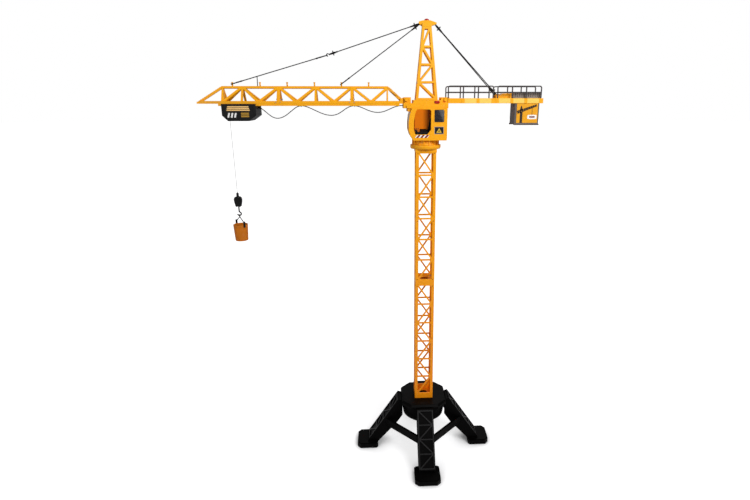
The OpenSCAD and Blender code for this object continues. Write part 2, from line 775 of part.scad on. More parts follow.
module railings() {
    color(grey) for (posts = rail_posts, y = [-counter_w / 2 + 1.2, counter_w / 2 + 1.8])
        translate([0, y, 0]) railing(posts);
}

module stay_bracket() {
    color(yellow) union() {
        difference() {
            translate([0, 16, 0]) rotate([90, 0, 0]) linear_extrude(32)
                polygon([[187, deck_top], [231, deck_top], [231, 1096], [206, 1096]]);
            translate([0, 13, 0]) rotate([90, 0, 0]) linear_extrude(26)
                polygon([[194, deck_top - 1], [228, deck_top - 1], [228, 1093], [208, 1093]]);
        }
        for (side = [-1, 1]) {
            translate([186, side * 15 - 2, deck_top]) cube([10, 4, 11]);
            rod([191, side * 13.6, deck_top + 7], "y", 1.9, 8.8);
        }
    }
}

module winch_cover() {
    ribs = 12;
    color(grey) difference() {
        translate([233, -20, deck_top]) cube([76, 40, 15.5]);
        for (i = [0 : ribs - 1]) translate([236 + i * 6, -21, deck_top + 3]) {
            cube([3, 3, 11]);
            translate([0, 39, 0]) cube([3, 3, 11]);
        }
        for (i = [0 : ribs - 1]) translate([236 + i * 6, -15, deck_top + 14.3]) cube([3, 30, 3]);
        translate([236, -17, deck_top - 1]) cube([70, 34, 12]);
    }
}

module counterweight_box() {
    color(grey) difference() {
        union() {
            translate([238, -25, 1015]) cube([66, 50, deck_low - 1015]);
            for (y = [-26.2, 23]) translate([236.5, y, 1013.5]) cube([69, 3.2, 4]);
        }
        translate([241, -22, 1018]) cube([60, 44, deck_low - 1017]);
        // the shallow recesses of the side panels
        translate([243, -26, 1020]) cube([58, 1.8, 47]);
        translate([243, 24.2, 1020]) cube([58, 1.8, 47]);
    }
}

module ballast() {
    color("silver") translate([242, -21, 1018]) cube([58, 42, 26]);
}

// ---------------------------------------------------------------- stays

cap_left = [cap_pins[0].x, 0, head_top_z + cap_pins[0].y];
cap_right = [cap_pins[1].x, 0, head_top_z + cap_pins[1].y];
// Two stays share each cap pin, side by side
side_step = [0, 1.7, 0];
long_peg = [-509.6, 0, 1119.5];
long_mid = [-260, 0, 1190.5];
short_peg = [-225, 0, 1119.5];
rear_eyes = [[191, -11.4, deck_top + 7], [191, 11.4, deck_top + 7]];
rear_sides = [-1, 1];
hook_len = 25;
// Half the gap between the two hooks that meet in the long stay
mid_gap = unit(cap_left - long_mid) * 2.4;

// A stay hook that hooks over p and points towards q, rolled about its own length
module stay_hook(p, q, roll = 0) {
    d = q - p;
    translate(p) rotate([0, -atan2(d.z, norm([d.x, d.y])), atan2(d.y, d.x)]) rotate([roll, 0, 0])
        rotate([90, 0, 0]) linear_extrude(2.6, center = true) {
            difference() {
                circle(r = 4.2);
                circle(r = 2.1);
                translate([-0.4, -6]) square([3.4, 6]);
            }
            polygon([[3, -1.5], [12, -2.3], [19, -2.3], [hook_len, -1.3], [hook_len, 1.3], [19, 2.3],
                     [12, 2.3], [3, 1.5]]);
            translate([14, -6]) square([2.6, 12]);
        }
}

// The point on the way from p to q where a stay's cord meets its hook
function cord_end(p, q) = p + unit(q - p) * (hook_len - 1.2);

module stay_hooks() {
    color(black) {
        stay_hook(cap_left - side_step, long_mid);
        stay_hook(long_mid + mid_gap, cap_left - side_step);
        stay_hook(long_mid - mid_gap, long_peg, 90);
        stay_hook(long_peg, long_mid, 90);
        stay_hook(cap_left + side_step, short_peg);
        stay_hook(short_peg, cap_left + side_step, 90);
        for (i = [0, 1]) {
            stay_hook(cap_right + rear_sides[i] * side_step, rear_eyes[i]);
            stay_hook(rear_eyes[i], cap_right + rear_sides[i] * side_step);
        }
    }
}

module stay(p, q) {
    a = cord_end(p, q);
    b = cord_end(q, p);
    color("#2b2b2e") cord([a, a + (b - a) / 3, a + (b - a) * 2 / 3, b], stay_d);
}

module stay_long() {
    stay(cap_left - side_step, long_mid + mid_gap);
    stay(long_mid - mid_gap, long_peg);
}
module stay_short() { stay(cap_left + side_step, short_peg); }
module stay_rear() {
    for (i = [0, 1]) stay(cap_right + rear_sides[i] * side_step, rear_eyes[i]);
}

// ---------------------------------------------------------------- trolley

// The trolley box's outline in x and z, moved in by d
function box_outline(d) = [[box_x[0] + d, box_z[1] - d], [box_x[0] + d, box_z[0] + 14 + d * 0.4],
    [box_x[0] + 14 + d * 0.4, box_z[0] + d], [box_x[1] - 20 - d * 0.4, box_z[0] + d],
    [box_x[1] - d, box_z[0] + 14 + d * 0.4], [box_x[1] - d, box_z[1] - d]];

// One half of the trolley's housing, on the -Y side of the seam
module trolley_shell() {
    difference() {
        union() {
            difference() {
                translate([0, -0.05, 0]) rotate([90, 0, 0]) linear_extrude(box_y - 0.05)
                    polygon(box_outline(0));
                translate([0, 1, 0]) rotate([90, 0, 0]) linear_extrude(box_y - box_skin + 1)
                    polygon(box_outline(box_skin));
            }
            // the cheek that rises beside the rail
            translate([box_x[0], -box_y, box_z[1] - 1]) cube([box_x[1] - box_x[0], 3.4, 8]);
            // the boss that carries the drum's shaft
            rod([drum_x, -25.5, drum_z], "y", 3, 9);
            // the hanger that carries the axles
            for (x = wheel_xs) translate([x - 4.5, -12, box_z[1] - 1]) cube([9, 11.95, 11.6]);
        }
        for (x = wheel_xs) rod([x, 0, wheel_z], "y", axle_r + fit, 60);
        rod([drum_x, 0, drum_z], "y", shaft_r + fit, 57);
        // the slot that the hoist line leaves by
        translate([-line_x - 3, -4, box_z[0] - 1]) cube([6, 8, 20]);
    }
}

module trolley_shell_front() { color(black) trolley_shell(); }
module trolley_shell_rear() { color(black) mirror([0, 1, 0]) trolley_shell(); }

module trolley_screws() {
    color("silver") for (x = [-500, -454]) rod([x, box_y - 0.2, 1054], "y", 2.4, 1.8);
}

module trolley_wheels(x) {
    rod([x, 0, wheel_z], "y", axle_r, 2 * wheel_y);
    for (y = [-wheel_y, wheel_y]) rod([x, y, wheel_z], "y", wheel_r - 0.3, 4.4);
}
module trolley_wheels_outer() { color("dimgray") trolley_wheels(wheel_xs[0]); }
module trolley_wheels_inner() { color("dimgray") trolley_wheels(wheel_xs[1]); }

module hoist_drum() {
    color("white") {
        rod([drum_x, -2, drum_z], "y", drum_r - 0.6, 22);
        for (y = [-12, 8]) rod([drum_x, y, drum_z], "y", 9, 1.6);
        rod([drum_x, 0, drum_z], "y", shaft_r, 55);
        translate([drum_x, 13, drum_z]) rotate([90, 0, 0]) linear_extrude(3)
            polygon(gear_points(drum_teeth, hoist_module));
    }
}

module hoist_pinion() {
    color("white") translate([hoist_x, 13, drum_z]) rotate([90, 0, 0]) {
        rotate(180 - 180 / hoist_teeth) linear_extrude(3) polygon(gear_points(hoist_teeth, hoist_module));
    }
}

module hoist_motor() {
    color("silver") {
        rod([hoist_x, 21, drum_z], "y", 8, 14);
        rod([hoist_x, 28.4, drum_z], "y", 2.5, 1.6);
    }
}

module travel_motor() {
    color("silver") {
        rod([-466, 8, drum_z], "y", 9, 26);
        translate([-477, -16, drum_z - 6]) cube([22, 12, 18]);
    }
}

// ---------------------------------------------------------------- festoon cable

// A carrier that rolls along the rail and holds the cable
module cable_carrier(x) {
    color(black) {
        translate([x - 3, -17, rail_z + 2.7]) cube([6, 34, 2.4]);
        translate([x - 3, -2.5, cable_top]) cube([6, 5, rail_z + 3 - cable_top]);
    }
}
module cable_carrier_outer() { cable_carrier(-334); }
module cable_carrier_inner() { cable_carrier(-192); }

module festoon_cable() {
    color(black) cord([for (p = cable_route) [p.x, 0, p.y]], cable_d);
}

// ---------------------------------------------------------------- hook and bucket

module hook_block() {
    half = 10.8;
    color(black) translate([-line_x, 0, hook_z]) union() {
        rotate([90, 0, 0]) linear_extrude(9, center = true)
            polygon([[-3.4, -9], [-8, -10.5], [-half, -16], [-half + 0.6, -24], [-7.4, -36.5],
                     [-5.4, -38], [-3, -38], [-2.4, -35.5], [2.4, -35.5], [3, -38], [5.4, -38],
                     [7.4, -36.5], [half - 0.6, -24], [half, -16], [8, -10.5], [3.4, -9]]);
        translate([0, 0, -11]) cylinder(r = 3.4, h = 11);
        rod([0, 0, -20], "y", 6.5, 12);
        rod([0, 0, -20], "y", 2.6, 14);
    }
}

module hook() {
    color(black) translate([-line_x, 0, 0]) union() {
        translate([0, 0, hook_mid + hook_r]) cylinder(r = hook_wire, h = 17.6);
        translate([0, 0, hook_mid]) rotate([90, 0, 0]) rotate(-170)
            rotate_extrude(angle = 260) translate([hook_r, 0]) circle(r = hook_wire, $fn = 24);
    }
}

module hoist_line() {
    top = drum_z + 1;
    color("white") cord([for (i = [0 : 4]) [-line_x, 0, top + (hook_z - top) * i / 4]], line_d);
}

// A wire V with an eye at its top, which hangs on the hook, and a pin at each foot
module bail() {
    eye = hook_mid - hook_r - 0.4;
    foot = bucket_d / 2 - 1;
    color("#3a3a3c") translate([-line_x, 0, 0]) union() {
        difference() {
            rod([0, 0, eye], "x", 4, 1.4);
            rod([0, 0, eye], "x", 2.6, 3);
        }
        rotate(bail_turn) for (side = [-1, 1]) {
            beam([0, 0, eye - 3.3], [side * foot, 0, ear_z + 0.4], 1.8, 1.8);
            rod([side * (foot + 1.4), 0, ear_z], "x", pin_r, 4.4);
        }
    }
}

// The two black ears outside the bucket's rim, with the holes that the bail's pins turn in
module bucket_ears() {
    out = bucket_d / 2;
    color(black) translate([-line_x, 0, 0]) rotate(bail_turn) for (side = [0, 1])
        mirror([side, 0, 0]) difference() {
            translate([out, -2.6, rim_z - 6]) cube([2.2, 5.2, ear_z + 3 - rim_z + 6]);
            rod([out, 0, ear_z], "x", pin_r + fit, 20);
        }
}

module bucket() {
    base = bucket_d / 2 - 2.8;
    wall = 1.6;
    color("#d07a10") translate([-line_x, 0, rim_z]) rotate_extrude($fn = 96)
        polygon([[0, -bucket_h], [base, -bucket_h], [bucket_d / 2 - 0.3, -4], [bucket_d / 2, -4],
                 [bucket_d / 2, 0], [bucket_d / 2 - wall, 0], [base - wall + 0.2, -bucket_h + wall],
                 [0, -bucket_h + wall]]);
}

base_deck();
base_bowl();
leg_left();
leg_front();
leg_right();
leg_rear();
base_struts();
mast_lower();
mast_upper();
mast_screws();
mast_flange();
slew_gear();
slew_washer();
turntable();
slew_motor();
slew_pinion();
saddle();
cab_shell();
cab_windscreen();
cab_window();
cab_seat();
cab_console();
cab_lamp();
tower_head();
head_cap();
beacon();
jib_root();
jib_middle();
jib_tip();
jib_rail();
jib_pins();
counter_deck();
railings();
stay_bracket();
winch_cover();
counterweight_box();
ballast();
stay_hooks();
stay_long();
stay_short();
stay_rear();
cable_carrier_outer();
cable_carrier_inner();
festoon_cable();
trolley_shell_front();
trolley_shell_rear();
trolley_screws();
trolley_wheels_outer();
trolley_wheels_inner();
hoist_motor();
travel_motor();
hoist_drum();
hoist_pinion();
hoist_line();
hook_block();
hook();
bail();
bucket_ears();
bucket();
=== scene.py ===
"""Looks for the toy tower crane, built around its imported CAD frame. +Z up, jib along -X.

Shapes are in millimetres and are turned into metres as each mesh is made. The camera, the lights
and the floor are in metres.
"""

import math

import bmesh
import bpy
from mathutils import Matrix, Vector
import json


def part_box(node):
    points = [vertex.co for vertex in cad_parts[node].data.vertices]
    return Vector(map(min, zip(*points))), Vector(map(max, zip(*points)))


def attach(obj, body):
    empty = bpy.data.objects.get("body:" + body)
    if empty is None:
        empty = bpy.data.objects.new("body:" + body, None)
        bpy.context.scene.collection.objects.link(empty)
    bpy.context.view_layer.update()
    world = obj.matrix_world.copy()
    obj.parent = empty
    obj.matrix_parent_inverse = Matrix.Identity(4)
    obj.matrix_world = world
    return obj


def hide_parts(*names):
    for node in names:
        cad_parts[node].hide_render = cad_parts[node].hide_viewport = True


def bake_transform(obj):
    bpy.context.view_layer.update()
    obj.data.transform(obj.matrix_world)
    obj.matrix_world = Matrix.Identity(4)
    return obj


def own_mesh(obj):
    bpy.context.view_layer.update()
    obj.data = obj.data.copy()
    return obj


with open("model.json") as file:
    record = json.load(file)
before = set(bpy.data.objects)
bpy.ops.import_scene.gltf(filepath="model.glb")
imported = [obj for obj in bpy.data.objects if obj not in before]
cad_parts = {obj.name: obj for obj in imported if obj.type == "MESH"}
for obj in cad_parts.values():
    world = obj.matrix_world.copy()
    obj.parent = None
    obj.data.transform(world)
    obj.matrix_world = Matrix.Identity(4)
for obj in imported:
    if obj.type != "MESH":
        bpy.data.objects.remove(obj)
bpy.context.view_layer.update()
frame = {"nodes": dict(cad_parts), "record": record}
NODES = frame["nodes"]
MM = 0.001
MATERIALS = {}


# ---------------------------------------------------------------- shader nodes


def feed(tree, socket, value):
    """Link another node's output to a socket, or give the socket a value of its own."""
    if isinstance(value, bpy.types.NodeSocket):
        tree.links.new(value, socket)
    else:
        socket.default_value = value


def seen_or_lit(tree, seen, lit):
    """A value that is one number where the camera looks and another where it lights things."""
    rays = tree.nodes.new("ShaderNodeLightPath")
    choice = tree.nodes.new("ShaderNodeMapRange")
    feed(tree, choice.inputs["Value"], rays.outputs["Is Camera Ray"])
    feed(tree, choice.inputs["To Min"], lit)
    feed(tree, choice.inputs["To Max"], seen)
    return choice.outputs["Result"]


class Maker:
    """A material's node tree being written. The material is kept in MATERIALS by its name."""

    def __init__(self, name):
        self.material = bpy.data.materials.new(name)
        self.material.use_nodes = True
        self.tree = self.material.node_tree
        self.shader = self.tree.nodes["Principled BSDF"]
        self.place = self.node("ShaderNodeTexCoord").outputs["Object"]
        MATERIALS[name] = self.material

    def node(self, kind, inputs=None, **settings):
        made = self.tree.nodes.new(kind)
        for key, value in settings.items():
            setattr(made, key, value)
        for key, value in (inputs or {}).items():
            feed(self.tree, made.inputs[key], value)
        return made

    def surface(self, name, value):
        """Give one of the surface shader's inputs a value or another node's output."""
        feed(self.tree, self.shader.inputs[name], value)

    def noise(self, size_mm, detail=3.0, rough=0.5, warp=0.0, stretch=None):
        place = self.place
        if stretch:
            place = self.node("ShaderNodeMapping", {"Vector": place, "Scale": stretch}).outputs[0]
        made = self.node("ShaderNodeTexNoise", {
            "Vector": place, "Scale": 1 / (size_mm * MM), "Detail": detail,
            "Roughness": rough, "Distortion": warp})
        return made.outputs["Fac"]

    def spread(self, value, low, high, source=(0.3, 0.7)):
        """The value where source's range becomes low to high, and stops at those ends."""
        made = self.node("ShaderNodeMapRange", {
            "Value": value, "From Min": source[0], "From Max": source[1],
            "To Min": low, "To Max": high})
        return made.outputs["Result"]

    def mix(self, factor, first, second):
        """One colour turning into another. A Mix node's colours are its inputs 6 and 7."""
        made = self.node("ShaderNodeMix", {0: factor, 6: first, 7: second}, data_type="RGBA")
        return made.outputs[2]

    def bump(self, *layers):
        """Layers of (height, strength, depth in mm), the first one underneath."""
        normal = None
        for height, strength, depth_mm in layers:
            inputs = {"Height": height, "Strength": strength, "Distance": depth_mm * MM}
            if normal:
                inputs["Normal"] = normal
            normal = self.node("ShaderNodeBump", inputs).outputs["Normal"]
        self.surface("Normal", normal)


# ---------------------------------------------------------------- camera, light, floor

CAMERA_PLACE, CAMERA_LENS_MM, CAMERA_SHIFT = (-0.121, -1.3876, 1.079), 23.7, -0.044
CAMERA_DOWN, CAMERA_TURN = 16.9, -3  # degrees below level, and from straight along +Y

# Each light's name, place, the point that it faces, its size and its watts
LIGHTS = (
    ("key_light", (0.95, -1.5, 2.0), (0, 0, 1.0), 0.8, 34),
    ("fill_light", (-1.8, -1.6, 1.5), (-0.2, 0, 0.9), 1.2, 9),
    ("back_light", (0.5, 2.0, 2.4), (0, 0, 1.0), 1.2, 7),
)
CARD_PLACE, CARD_TARGET, CARD_LEAN = (0.2976, -2.05, 0.997), (0.2976, 0, 0.997), -23
CARD_WIDTH, CARD_HEIGHT, CARD_WATTS = 0.06, 0.10, 0.05
BACKDROP_SEEN, BACKDROP_LIT = 1.0, 0.32

FLOOR_GLOW, FLOOR_GLOW_AT = (0.70, 0.95), (0.28, 0.9)  # nearest and furthest, metres from the mast
# Painted contact shadow: the floor's glow drops where something is close over it.
CONTACT_GLOW, CONTACT_OPENNESS, CONTACT_REACH = (0.15, 1.0), (0.45, 0.97), 0.07
FLOOR_LIT = 0.05


def add_camera():
    """The product shot's view: a little above the roof, in front of the cab's open side."""
    data = bpy.data.cameras.new("camera")
    data.lens = CAMERA_LENS_MM
    data.sensor_width = 36
    data.shift_x = CAMERA_SHIFT
    camera = bpy.data.objects.new("camera", data)
    camera.location = CAMERA_PLACE
    camera.rotation_euler = (math.radians(90 - CAMERA_DOWN), 0, math.radians(CAMERA_TURN))
    bpy.context.collection.objects.link(camera)
    bpy.context.scene.camera = camera


def add_area_light(name, place, target, size, power):
    data = bpy.data.lights.new(name, "AREA")
    data.size = size
    data.energy = power
    light = bpy.data.objects.new(name, data)
    light.location = place
    way = Vector(target) - Vector(place)
    light.rotation_euler = way.to_track_quat("-Z", "Y").to_euler()
    bpy.context.collection.objects.link(light)
    return light


def add_studio():
    """A strong key from the front right, a weaker fill and back light, a small leaning card that
    shows as the streak in the cab's dark pane, and a white backdrop that lights little."""
    for light in LIGHTS:
        add_area_light(*light)
    card = add_area_light("pane_card", CARD_PLACE, CARD_TARGET, CARD_WIDTH, CARD_WATTS)
    card.data.shape = "RECTANGLE"
    card.data.size_y = CARD_HEIGHT
    card.rotation_euler = (math.radians(90), math.radians(CARD_LEAN), 0)
    world = bpy.data.worlds.new("studio")
    world.use_nodes = True
    tree = world.node_tree
    backdrop = tree.nodes["Background"]
    feed(tree, backdrop.inputs["Color"], (1, 1, 1, 1))
    feed(tree, backdrop.inputs["Strength"], seen_or_lit(tree, BACKDROP_SEEN, BACKDROP_LIT))
    scene = bpy.context.scene
    scene.world = world
    scene.view_settings.view_transform = "Standard"


def add_floor():
    """A white sweep that glows by itself: less round the mast than further off, and least where
    something stands close over it, so that only soft contact shadows show, and these are painted
    shadows."""
    bpy.ops.mesh.primitive_circle_add(vertices=96, radius=30, fill_type="NGON")
    floor = bpy.context.object
    floor.name = "studio_floor"
    m = Maker("studio_floor")
    away = m.node("ShaderNodeVectorMath", {0: m.place}, operation="LENGTH").outputs["Value"]
    # Painted contact shadow: less glow where something stands close.
    close = m.node("ShaderNodeAmbientOcclusion", {"Distance": CONTACT_REACH}).outputs["AO"]
    glow = m.node("ShaderNodeMath", {
        0: m.spread(away, *FLOOR_GLOW, FLOOR_GLOW_AT),
        1: m.spread(close, *CONTACT_GLOW, CONTACT_OPENNESS)}, operation="MULTIPLY").outputs["Value"]
    m.surface("Base Color", (0.62, 0.62, 0.63, 1))
    m.surface("Roughness", 0.9)
    m.surface("Specular IOR Level", 0.1)
    m.surface("Emission Color", (1, 1, 1, 1))
    m.surface("Emission Strength", seen_or_lit(m.tree, glow, FLOOR_LIT))
    floor.data.materials.append(m.material)


add_camera()
add_studio()
add_floor()


# ---------------------------------------------------------------- materials

RUB_MARK = (0.9, 0.9, 0.88, 1)


def tint(colour, factor):
    return tuple(min(1, c * factor) for c in colour) + (1,)


def plastic(name, colour, rough, grain_mm, grain_depth, blotch=0.06, coat=0.0, glow=0.0, shine=0.3,
            wear=0.10, low=None, coat_rough=0.12):
    """Moulded plastic: flow marks in the colour, a fine grain, rub marks and uneven gloss.

    low is the colour that it turns into towards the floor, which is painted shade.
    """
    m = Maker(name)
    flow = m.noise(38, 4, 0.55, 0.6)
    speck = m.noise(1.4, 2)
    rubbed = m.noise(3, 4, 0.65, 0.3, (1, 1, 0.12))
    base = m.mix(m.spread(flow, 0, 1), tint(colour, 1 - blotch), tint(colour, 1 + blotch))
    base = m.mix(m.spread(speck, 0, 0.3, (0.55, 0.8)), base, tint(colour, 0.88))
    # Painted shade: the colour turns into low towards the floor.
    if low:
        height = m.node("ShaderNodeSeparateXYZ", {"Vector": m.place}).outputs["Z"]
        base = m.mix(m.spread(height, 0, 0.9, (1.25, 0.25)), base, tint(low, 1))
    base = m.mix(m.spread(rubbed, 0, wear, (0.62, 0.75)), base, RUB_MARK)
    m.surface("Base Color", base)
    gloss = m.node("ShaderNodeMath", {0: m.noise(9, 5, 0.6), 1: rubbed}, operation="MAXIMUM")
    m.surface("Roughness", m.spread(gloss.outputs[0], rough - 0.06, rough + 0.12, (0.35, 0.75)))
    m.surface("Specular IOR Level", shine)
    m.surface("Coat Weight", coat)
    m.surface("Coat Roughness", coat_rough)
    m.surface("Subsurface Weight", glow)
    m.surface("Subsurface Radius", (0.002, 0.0012, 0.0006))
    m.surface("Subsurface Scale", 1.0)
    m.bump((m.noise(14, 2), 0.25, 0.25), (m.noise(grain_mm, 3, 0.6), 0.5, grain_depth))


def ink(name, colour, blotch, **finish):
    """A thin matt print."""
    plastic(name, colour, 0.5, 0.3, 0.01, blotch, **finish)


def steel(name, colour, rough):
    """Zinc-plated or turned steel, with fine streaks."""
    m = Maker(name)
    streak = m.noise(1, 4, stretch=(0.9, 0.9, 0.06))
    m.surface("Base Color", m.mix(streak, tint(colour, 0.8), tint(colour, 1.15)))
    m.surface("Metallic", 1.0)
    m.surface("Roughness", m.spread(streak, rough - 0.1, rough + 0.12))
    m.bump((streak, 0.2, 0.05))


def string(name, colour, rough, fuzz_mm):
    """Cord fibres: short light and dark threads along the strands."""
    m = Maker(name)
    fibre = m.noise(fuzz_mm, 4, 0.7, 0.8)
    dirt = m.noise(22, 3)
    base = m.mix(m.spread(fibre, 0, 1), tint(colour, 0.6), tint(colour, 1.35))
    m.surface("Base Color", m.mix(m.spread(dirt, 0, 0.35), base, tint(colour, 0.7)))
    m.surface("Roughness", m.spread(fibre, rough - 0.1, rough + 0.1))
    m.surface("Sheen Weight", 0.05)
    m.surface("Specular IOR Level", 0.2)
    m.bump((fibre, 0.6, 0.08))


def lining(name, bright, dim):
    """The cab's inner skin, with painted light and shade: it glows towards the jib and is painted dark
    away from it. This stands in for the light that comes through the real thin wall, and so it keeps
    its glow when the lights change."""
    m = Maker(name)
    along = m.node("ShaderNodeSeparateXYZ", {"Vector": m.place}).outputs["X"]
    bright, dim = tint(bright, 1), tint(dim, 1)
    colour = m.mix(m.spread(along, 0, 1, (-0.006, 0.012)), bright, dim)
    grain = m.noise(0.6, 3, 0.6)
    m.surface("Base Color", m.mix(m.spread(m.noise(14, 3), 0, 0.12), colour, dim))
    m.surface("Emission Color", colour)
    m.surface("Emission Strength", 0.75)
    m.surface("Roughness", m.spread(grain, 0.42, 0.55))
    m.bump((grain, 0.4, 0.02))


# crane_plastic's low colour is painted shade: a deeper orange towards the floor.
plastic("crane_plastic", (0.93, 0.43, 0.005), 0.34, 0.5, 0.02, 0.05, glow=0.04, low=(0.90, 0.27, 0.003))
plastic("base_plastic", (0.0012, 0.001, 0.001), 0.40, 0.45, 0.05, 0.15, shine=0.05, wear=0.01)
plastic("black_plastic", (0.006, 0.006, 0.006), 0.36, 0.4, 0.04, 0.15, shine=0.2, wear=0.02)
plastic("grey_plastic", (0.115, 0.098, 0.094), 0.42, 0.4, 0.04, 0.08)
plastic("gear_plastic", (0.80, 0.78, 0.72), 0.4, 0.5, 0.02, 0.04, glow=0.1)
plastic("red_plastic", (0.42, 0.006, 0.006), 0.2, 0.6, 0.01, 0.05, coat=0.5, glow=0.2)
plastic("bucket_plastic", (0.56, 0.155, 0.002), 0.36, 0.5, 0.03, 0.08, glow=0.05)
plastic("cab_glazing", (0.008, 0.006, 0.011), 0.07, 3.0, 0.001, 0.1, coat=0.6, wear=0, coat_rough=0.02)
string("stay_cord", (0.007, 0.006, 0.007), 0.6, 0.35)
plastic("cable_rubber", (0.03, 0.032, 0.036), 0.45, 0.35, 0.04, 0.15)
string("hoist_string", (0.06, 0.06, 0.06), 0.8, 0.3)
steel("screw_steel", (0.62, 0.62, 0.63), 0.35)
steel("motor_steel", (0.5, 0.5, 0.52), 0.4)
steel("bail_wire", (0.07, 0.07, 0.07), 0.4)
ink("print_white", (0.84, 0.83, 0.81), 0.03)
ink("print_red", (0.18, 0.004, 0.012), 0.05)
ink("print_cream", (0.84, 0.52, 0.19), 0.04)
ink("print_gold", (0.46, 0.25, 0.025), 0.05)
plastic("panel_orange", (0.80, 0.35, 0.004), 0.42, 0.4, 0.02, 0.06)
ink("print_yellow", (0.72, 0.48, 0.05), 0.04)
plastic("rail_grey", (0.055, 0.048, 0.048), 0.42, 0.4, 0.04, 0.08, shine=0.2)
# Painted highlight: a black a little lighter than the legs', for the leg ribs.
plastic("rib_highlight_black", (0.008, 0.0075, 0.008), 0.35, 0.45, 0.05, 0.15, wear=0.02)
ink("print_grey", (0.34, 0.33, 0.32), 0.04)
ink("print_dark", (0.026, 0.014, 0.006), 0.08, wear=0.02)
# Painted light: the pale yellow of the counter-jib deck's brightly lit side faces.
plastic("deck_painted_light", (0.93, 0.60, 0.11), 0.38, 0.5, 0.02, 0.04)
plastic("winch_grey", (0.24, 0.205, 0.18), 0.45, 0.4, 0.04, 0.06)
# Painted light and shade: the cab lining glows orange towards the jib and is dark away from it.
lining("cab_lining_painted_light", (0.80, 0.20, 0.003), (0.07, 0.012, 0.002))
# Painted shade: the dark brown-orange inside the mast's sockets.
plastic("painted_shade_hole", (0.10, 0.030, 0.004), 0.7, 0.4, 0.02, 0.1)

SLOT_OF = {s["node"]: s["material_slot"] for s in frame["record"]["subparts"]}


# ---------------------------------------------------------------- mesh helpers

# The faces of a box whose corners go from side to side, then from foot to top, then end to end
BOX_FACES = [[0, 1, 3, 2], [4, 6, 7, 5], [0, 2, 6, 4], [1, 5, 7, 3], [2, 3, 7, 6], [0, 4, 5, 1]]
BAR_CORNERS = (-1, -1), (1, -1), (1, 1), (-1, 1)
BAR_FACES = [[0, 1, 2, 3], [7, 6, 5, 4], [0, 4, 5, 1], [1, 5, 6, 2], [2, 6, 7, 3], [3, 7, 4, 0]]
CURVE_STEPS = 16


def across(axis):
    """How a flat point (u, v) and a distance w along the axis become a point in space."""
    return {"x": lambda u, v, w: (w, u, v), "y": lambda u, v, w: (u, w, v),
            "z": lambda u, v, w: (u, v, w)}[axis]


def frames(path):
    """The way and two directions across it at each point of a path, turned as little as can be."""
    path = [Vector(p) for p in path]
    side = None
    for i, point in enumerate(path):
        way = (path[min(i + 1, len(path) - 1)] - path[max(i - 1, 0)]).normalized()
        if side is None:
            side = way.cross(Vector((0, 1, 0.01))).normalized()
        side = (side - way * side.dot(way)).normalized()
        yield point, way, side, way.cross(side)


def resample(path, step):
    """A smooth curve through the path's points, with a point at each step."""
    p = [Vector(q) for q in path]
    p = [2 * p[0] - p[1]] + p + [2 * p[-1] - p[-2]]
    fine = []
    for i in range(1, len(p) - 2):
        a, b, c, d = p[i - 1:i + 3]
        for k in range(CURVE_STEPS):
            t = k / CURVE_STEPS
            fine.append(0.5 * (2 * b + (c - a) * t + (2 * a - 5 * b + 4 * c - d) * t * t
                               + (3 * b - a - 3 * c + d) * t ** 3))
    fine.append(p[-2])
    total = sum((b - a).length for a, b in zip(fine, fine[1:]))
    count = max(2, round(total / step))
    made, walked, i = [fine[0]], 0.0, 0
    for k in range(1, count):
        while walked + (fine[i + 1] - fine[i]).length < total * k / count:
            walked += (fine[i + 1] - fine[i]).length
            i += 1
        part = fine[i + 1] - fine[i]
        made.append(fine[i] + part * ((total * k / count - walked) / part.length))
    return made + [fine[-1]]


